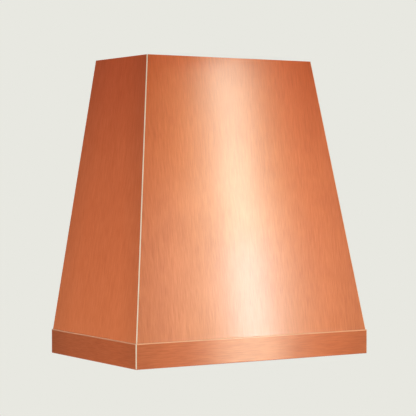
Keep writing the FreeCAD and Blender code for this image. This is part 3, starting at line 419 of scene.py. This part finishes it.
def slab(shape, rim, low, high):
    """A flat plate between two heights over a closed outline of points (x, y)."""
    under = [shape.verts.new((x, y, low)) for x, y in rim]
    over = [shape.verts.new((x, y, high)) for x, y in rim]
    shape.faces.new(under)
    shape.faces.new(over)
    for step in range(len(rim)):
        after = (step + 1) % len(rim)
        shape.faces.new((under[step], under[after], over[after], over[step]))


def bar_outline(centre, start, stop, width, degrees, steps=8):
    """A round-ended bar that points away from centre."""
    turn = math.radians(degrees)
    rim = []
    for end, base in ((stop, -90.0), (start, 90.0)):
        for step in range(steps + 1):
            ahead, aside = polar((end, 0.0), 0.5 * width, base + 180.0 * step / steps)
            rim.append((centre[0] + ahead * math.cos(turn) - aside * math.sin(turn),
                        centre[1] + ahead * math.sin(turn) + aside * math.cos(turn)))
    return rim


def middle_of(name):
    """The middle of a node in plan, to a tenth of a millimetre."""
    low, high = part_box(name)
    return tuple(round((low[axis] + high[axis]) / 2, 4) for axis in (0, 1))


# Liner screws: domed heads with a cross recess and a thread
HEAD_RADIUS = 0.004
HEAD_RADII = (0.0, 0.00035, 0.0007, 0.00105, 0.0014, 0.0017, 0.00195, 0.0022, 0.0026, 0.003,
              0.0034, 0.0037, 0.0039, HEAD_RADIUS)
HEAD_SKIRT = 0.0006
HEAD_DOME = 0.0018
HEAD_RIM = 0.0005
HEAD_STEPS = 40
RECESS_REACH = 0.002
RECESS_HALF_WIDTH = 0.00048
RECESS_DEPTH = 0.0011
THREAD_PITCH = 0.0007
THREAD_ROOT = 0.0017
THREAD_DEPTH = 0.0003
THREAD_STEPS = 16
SCREW_ROW_REACH = 0.183
SCREW_ROW_INSET = 0.024
SCREW_SIDE_REACH = 0.13
SCREW_TURN = 0.61
LINER_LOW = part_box("liner_pan")[0][2]
screws_low, screws_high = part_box("liner_screws")


def screw_places():
    """Four screws along the front and the back of the liner, and two along each side."""
    side_x = round(screws_high[0] - HEAD_RADIUS, 4)
    front_y = round(screws_low[1] + HEAD_RADIUS, 4)
    back_y = round(screws_high[1] - HEAD_RADIUS, 4)
    middle_y = middle_of("liner_screws")[1]
    end_x = side_x - SCREW_ROW_INSET
    row = (-end_x, -SCREW_ROW_REACH, SCREW_ROW_REACH, end_x)
    column = (middle_y - SCREW_SIDE_REACH, middle_y + SCREW_SIDE_REACH)
    return ([(x, y) for y in (front_y, back_y) for x in row] +
            [(x, y) for x in (-side_x, side_x) for y in column])


def cross_recess(x, y, height):
    long_way, short_way = max(abs(x), abs(y)), min(abs(x), abs(y))
    if height < -HEAD_RIM and long_way < RECESS_REACH and short_way < RECESS_HALF_WIDTH:
        return RECESS_DEPTH
    return 0.0


head = [(radius, -HEAD_SKIRT - HEAD_DOME * math.sqrt(1.0 - (radius / HEAD_RADIUS) ** 2))
        for radius in HEAD_RADII]
head += [(HEAD_RADIUS, 0.0), (0.0, 0.0)]
thread_turns = int((screws_high[2] - LINER_LOW) / THREAD_PITCH)
thread = [(0.0, -HEAD_RIM), (THREAD_ROOT, -HEAD_RIM)]
thread += [(THREAD_ROOT + THREAD_DEPTH * (step % 2), step * THREAD_PITCH / 2)
           for step in range(2 * thread_turns)]
thread.append((0.0, thread_turns * THREAD_PITCH))
screws = bmesh.new()
for number, (x, y) in enumerate(screw_places()):
    turned(screws, head, (x, y, LINER_LOW), HEAD_STEPS, SCREW_TURN * number, cross_recess)
    turned(screws, thread, (x, y, LINER_LOW), THREAD_STEPS)
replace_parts(add_piece("liner_screw_heads", screws, bright, "hood"),
            "liner_screws")

# Knob pointers and bosses
FAN_STEPS = (-157.5, -112.5, -67.5, -22.5)
LIGHT_START = -225.0
LIGHT_SWEEP = 270.0
POINTER = {"start": 0.0042, "stop": 0.0114, "width": 0.0016}
POINTER_HEIGHT = 0.0004
BOSS = [(0.0, 0.0), (0.0028, 0.0), (0.0028, -0.0004), (0.0024, -0.0007), (0.0, -0.0008)]
BOSS_STEPS = 32
fan_place, light_place = middle_of("fan_knob"), middle_of("light_knob")
for body, place, turn in (("fan_control", fan_place, FAN_STEPS[0]),
                          ("light_control", light_place, LIGHT_START)):
    knob_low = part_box(body.replace("control", "knob"))[0][2]
    pointer = bmesh.new()
    slab(pointer, bar_outline(place, degrees=turn, **POINTER), knob_low - POINTER_HEIGHT, knob_low)
    add_piece(body + "_pointer", pointer, ink, body, smooth=False)
    boss = bmesh.new()
    turned(boss, BOSS, place + (knob_low,), BOSS_STEPS)
    add_piece(body + "_boss", boss, bright, body)

# Marks on the liner: four bars for the fan, and a wedge that widens for the light
MARK_HEIGHT = 0.00012
MARK_LOW = LINER_LOW - MARK_HEIGHT
FAN_MARK = {"start": 0.0205, "stop": 0.0232, "width": 0.0011}
WEDGE_INSIDE = 0.0203
WEDGE_OUTSIDE = 0.0206
WEDGE_GAIN = 0.003
WEDGE_STEPS = 60
marks = bmesh.new()
for turn in FAN_STEPS:
    slab(marks, bar_outline(fan_place, degrees=turn, **FAN_MARK), MARK_LOW, LINER_LOW)
shares = [step / WEDGE_STEPS for step in range(WEDGE_STEPS + 1)]
wedge = [polar(light_place, WEDGE_INSIDE, LIGHT_START + LIGHT_SWEEP * share) for share in shares]
wedge += [polar(light_place, WEDGE_OUTSIDE + WEDGE_GAIN * share, LIGHT_START + LIGHT_SWEEP * share)
          for share in reversed(shares)]
slab(marks, wedge, MARK_LOW, LINER_LOW)
add_piece("dial_marks", marks, ink, "hood", smooth=False)

# Plain digits beside the fan marks, facing down
NUMERAL_SIZE = 0.0075
NUMERAL_REACH = 0.0275
for number, turn in enumerate(FAN_STEPS):
    curve = bpy.data.curves.new("numeral", "FONT")
    curve.body = str(number)
    curve.size = NUMERAL_SIZE
    curve.align_x = "CENTER"
    curve.align_y = "CENTER"
    curve.extrude = MARK_HEIGHT / 2
    writer = bpy.data.objects.new("numeral", curve)
    scene.collection.objects.link(writer)
    bpy.context.view_layer.update()
    drawn = bmesh.new()
    drawn.from_mesh(bpy.data.meshes.new_from_object(writer))
    bpy.data.objects.remove(writer)
    x, y = polar(fan_place, NUMERAL_REACH, turn)
    spot = Matrix.Translation((x, y, LINER_LOW - MARK_HEIGHT / 2))
    face_down = spot @ Matrix.Rotation(math.pi, 4, "X")
    bmesh.ops.transform(drawn, matrix=face_down, verts=drawn.verts[:])
    add_piece("dial_numeral_%d" % number, drawn, ink, "hood", smooth=False)

# Rivets at the corners of each filter frame
RIVET = [(0.0, 0.0), (0.0026, 0.0), (0.0024, -0.0004), (0.0016, -0.00075), (0.0, -0.0009)]
RIVET_STEPS = 20
RIVET_INSET = 0.009
for side in ("left", "centre", "right"):
    low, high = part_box("filter_%s_frame" % side)
    rivets = bmesh.new()
    for x in (low[0] + RIVET_INSET, high[0] - RIVET_INSET):
        for y in (low[1] + RIVET_INSET, high[1] - RIVET_INSET):
            turned(rivets, RIVET, (x, y, low[2]), RIVET_STEPS)
    add_piece("filter_%s_rivets" % side, rivets, bright, "filter_" + side)

# Screws of the junction cover and rivets round the plate of the duct collar
COVER_SCREW = [(0.0, 0.0016), (0.0010, 0.00155), (0.0022, 0.0012), (0.0030, 0.0006),
               (0.0032, 0.0), (0.0, 0.0)]
COVER_STEPS = 24
COVER_INSET = 0.009
COVER_TURN = 0.4
COLLAR_RIVET = [(0.0, 0.0014), (0.0012, 0.0012), (0.0021, 0.0007), (0.0025, 0.0), (0.0, 0.0)]
COLLAR_RIVETS = 8
COLLAR_CIRCLE = 0.0855
COLLAR_PLATE = 0.0012
fixings = bmesh.new()
low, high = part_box("junction_cover")
cover_y = 0.5 * (low[1] + high[1])
for number, x in enumerate((low[0] + COVER_INSET, high[0] - COVER_INSET)):
    turned(fixings, COVER_SCREW, (x, cover_y, high[2]), COVER_STEPS, COVER_TURN * number)
plate_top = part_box("blower_lid")[1][2] + COLLAR_PLATE
for number in range(COLLAR_RIVETS):
    x, y = polar((0.0, 0.0), COLLAR_CIRCLE, (number + 0.5) * 360.0 / COLLAR_RIVETS)
    turned(fixings, COLLAR_RIVET, (x, y, plate_top), RIVET_STEPS)
add_piece("inner_fixings", fixings, bright, "hood")

# Stage: pale floor far below the hanging hood, seen from above only and faded out at its rim
PALE = (0.807, 0.807, 0.753)
FLOOR_Z = -2.3
FLOOR_RADIUS = 3.0
FLOOR_SEGMENTS = 96
FLOOR_GLOW = 0.26
FADE_START = 0.45 * FLOOR_RADIUS
FADE_STOP = 0.98 * FLOOR_RADIUS
ground = Shader("floor_pale")
ground.set(Base_Color=PALE + (1.0,), Roughness=0.9)
glow = ground.node("ShaderNodeEmission")
glow.inputs["Color"].default_value = PALE + (1.0,)
ray = ground.node("ShaderNodeLightPath")
shown = ground.math("MAXIMUM", ray.outputs["Is Camera Ray"], ray.outputs["Is Glossy Ray"])
ground.link(ground.math("MULTIPLY", shown, FLOOR_GLOW), glow.inputs["Strength"])
lit = ground.node("ShaderNodeAddShader")
ground.link(ground.bsdf.outputs[0], lit.inputs[0])
ground.link(glow.outputs[0], lit.inputs[1])
side_seen = ground.node("ShaderNodeNewGeometry")
clear = ground.node("ShaderNodeBsdfTransparent")
coords = ground.node("ShaderNodeTexCoord")
length = ground.node("ShaderNodeVectorMath", operation="LENGTH")
ground.link(coords.outputs["Object"], length.inputs[0])
fade = ground.span(length.outputs["Value"], 0.0, 1.0, FADE_START, FADE_STOP)
gone = ground.math("MAXIMUM", fade, side_seen.outputs["Backfacing"])
cover = ground.node("ShaderNodeMixShader")
ground.link(gone, cover.inputs[0])
ground.link(lit.outputs[0], cover.inputs[1])
ground.link(clear.outputs[0], cover.inputs[2])
ground.link(cover.outputs[0], ground.out.inputs[0])

disc = bmesh.new()
bmesh.ops.create_circle(disc, cap_ends=True, segments=FLOOR_SEGMENTS, radius=FLOOR_RADIUS)
floor_mesh = bpy.data.meshes.new("floor")
disc.to_mesh(floor_mesh)
disc.free()
floor_mesh.materials.append(ground.material)
floor = bpy.data.objects.new("floor", floor_mesh)
floor.location = (0.0, 0.0, FLOOR_Z)
scene.collection.objects.link(floor)

# World: flat pale background for camera and transmission rays, and a soft room for the others
ROOM_COLOUR = (1.0, 0.97, 0.86)
UPRIGHT = (0.0, 0.0, 1.0)
FRONT_LOOKS = (0.68, -0.70, 0.20)
LEFT_LOOKS = (-0.51, 0.85, 0.10)
world = bpy.data.worlds.new("studio")
scene.world = world
world.use_nodes = True
room = Graph(world.node_tree)
way = room.node("ShaderNodeTexCoord").outputs["Generated"]


def room_step(direction, start, stop, low, high):
    """A soft step from low to high, while the cosine of a ray's angle to a direction goes from
    start to stop."""
    made = room.node("ShaderNodeVectorMath", operation="DOT_PRODUCT")
    made.inputs[1].default_value = Vector(direction).normalized()
    room.link(way, made.inputs[0])
    return room.span(made.outputs["Value"], low, high, start, stop, ease="SMOOTHSTEP")


def room_level():
    """Bright round the horizon, dim above it, brighter again near the zenith and half as bright
    below. It is dimmer where the front panel looks, so that the strips stand out there, and dimmest
    where the left side looks."""
    level = room_step(FRONT_LOOKS, start=0.88, stop=0.985, low=0.53, high=0.37)
    for step in (room_step(LEFT_LOOKS, start=0.84, stop=0.985, low=1.0, high=0.15),
                 room_step(UPRIGHT, start=0.17, stop=0.38, low=1.5, high=0.3),
                 room_step(UPRIGHT, start=-0.18, stop=0.08, low=0.5, high=1.0),
                 room_step(UPRIGHT, start=0.5, stop=0.8, low=1.0, high=4.0)):
        level = room.math("MULTIPLY", level, step)
    return level


walls = room.node("ShaderNodeBackground")
walls.inputs["Color"].default_value = ROOM_COLOUR + (1.0,)
room.link(room_level(), walls.inputs["Strength"])
seen = room.node("ShaderNodeBackground")
seen.inputs["Color"].default_value = PALE + (1.0,)
path = room.node("ShaderNodeLightPath")
straight = room.math("MAXIMUM", path.outputs["Is Camera Ray"], path.outputs["Is Transmission Ray"])
either = room.node("ShaderNodeMixShader")
room.link(straight, either.inputs[0])
room.link(walls.outputs[0], either.inputs[1])
room.link(seen.outputs[0], either.inputs[2])
room.link(either.outputs[0], room.node("ShaderNodeOutputWorld").inputs[0])


# Lights
def area_light(name, top, low, target, width, power, colour=(1.0, 1.0, 1.0), outline="RECTANGLE"):
    """A sheet of light that stands from low to top and faces the target."""
    top, low, target = Vector(top), Vector(low), Vector(target)
    middle = (top + low) / 2
    up = (top - low).normalized()
    back = middle - target
    back = (back - up * back.dot(up)).normalized()
    side = up.cross(back)
    lamp = bpy.data.lights.new(name, "AREA")
    lamp.shape = outline
    lamp.size = width
    lamp.size_y = (top - low).length
    lamp.energy = power
    lamp.color = colour
    made = bpy.data.objects.new(name, lamp)
    made.matrix_world = Matrix((
        (side.x, up.x, back.x, middle.x), (side.y, up.y, back.y, middle.y),
        (side.z, up.z, back.z, middle.z), (0.0, 0.0, 0.0, 1.0)))
    made.visible_camera = False
    scene.collection.objects.link(made)


# Strips that the front mirrors: a core, a bluer foot, amber flanks, one for the band, a wide haze
FRONT_AIM = (0.0, -0.26, -0.45)
FOOT_AIM = (0.0, -0.3, -0.75)
BAND_AIM = (0.0, -0.33, -0.97)
area_light("strip", (2.43, -3.715, 1.54), (2.552, -4.123, -0.3), FRONT_AIM,
           width=0.2, power=17.8, colour=(0.81, 0.94, 0.80))
area_light("strip_foot", (2.505, -3.966, 0.41), (2.557, -4.14, -0.38), FOOT_AIM,
           width=0.16, power=1.7, colour=(0.1, 0.3, 1.0))
area_light("strip_glow", (2.39, -3.74, 1.54), (2.512, -4.148, -0.3), FRONT_AIM,
           width=0.66, power=6.0, colour=(1.0, 0.80, 0.10))
area_light("strip_low", (2.52, -4.13, -0.95), (2.51, -4.15, -2.0), BAND_AIM,
           width=0.38, power=10.8, colour=(0.94, 0.92, 0.68))
area_light("strip_wide", (2.37, -3.94, 0.95), (2.46, -4.25, -0.85), FOOT_AIM,
           width=0.9, power=5.4, colour=(0.84, 0.92, 0.80), outline="ELLIPSE")

# A soft light for the left side, four at the corners of the room, four at its walls, one overhead
LEFT_AIM = (-0.4, -0.1, -0.75)
CORNER_AIM = (0.0, 0.0, -0.6)
CORNER_LOW = -2.2
WALL_AIM = (0.0, 0.0, -0.5)
WALL_TOP = 2.2
WALL_LOW = -0.9
WARM_WHITE = (1.0, 0.96, 0.84)
area_light("left_soft", (-2.3, 0.5, -0.15), (-2.2, 0.4, -1.65), LEFT_AIM, width=1.4, power=6.6)
for name, x, y, top, power in (
        ("soft_front_left", -3.1, -2.5, 1.9, 18.0), ("soft_front_right", 2.85, -2.8, 0.9, 2.0),
        ("soft_back_right", 2.85, 2.8, 0.9, 12.0), ("soft_back_left", -3.2, 2.4, 0.9, 12.0)):
    area_light(name, (x, y, top), (x, y, CORNER_LOW), CORNER_AIM,
               width=0.34, power=power, colour=WARM_WHITE)
for name, x, y, power in (
        ("bar_front", -0.35, -4.6, 8.0), ("bar_right", 4.6, -0.2, 10.0),
        ("bar_back", -0.35, 4.6, 12.0), ("bar_left", -4.6, 0.1, 6.0)):
    area_light(name, (x, y, WALL_TOP), (x, y, WALL_LOW), WALL_AIM,
               width=0.3, power=power, colour=WARM_WHITE)
area_light("top_soft", (0.0, 1.3, 2.6), (0.0, -1.3, 2.6), (0.0, 0.0, 0.0), width=2.8, power=26.0)

# Camera at the photograph's place
EYE = Vector((-2.976, -4.776, -0.394))
LOOK = Vector((0.53097, 0.84715, -0.02026))
LENS_MM = 140.59
SENSOR_MM = 36.0
VIEW_END = 100.0
lens_data = bpy.data.cameras.new("camera")
lens_data.sensor_width = SENSOR_MM
lens_data.lens = LENS_MM
lens_data.clip_end = VIEW_END
camera = bpy.data.objects.new("camera", lens_data)
camera.location = EYE
camera.rotation_euler = LOOK.to_track_quat("-Z", "Y").to_euler()
scene.collection.objects.link(camera)
scene.camera = camera
scene.view_settings.view_transform = "Standard"
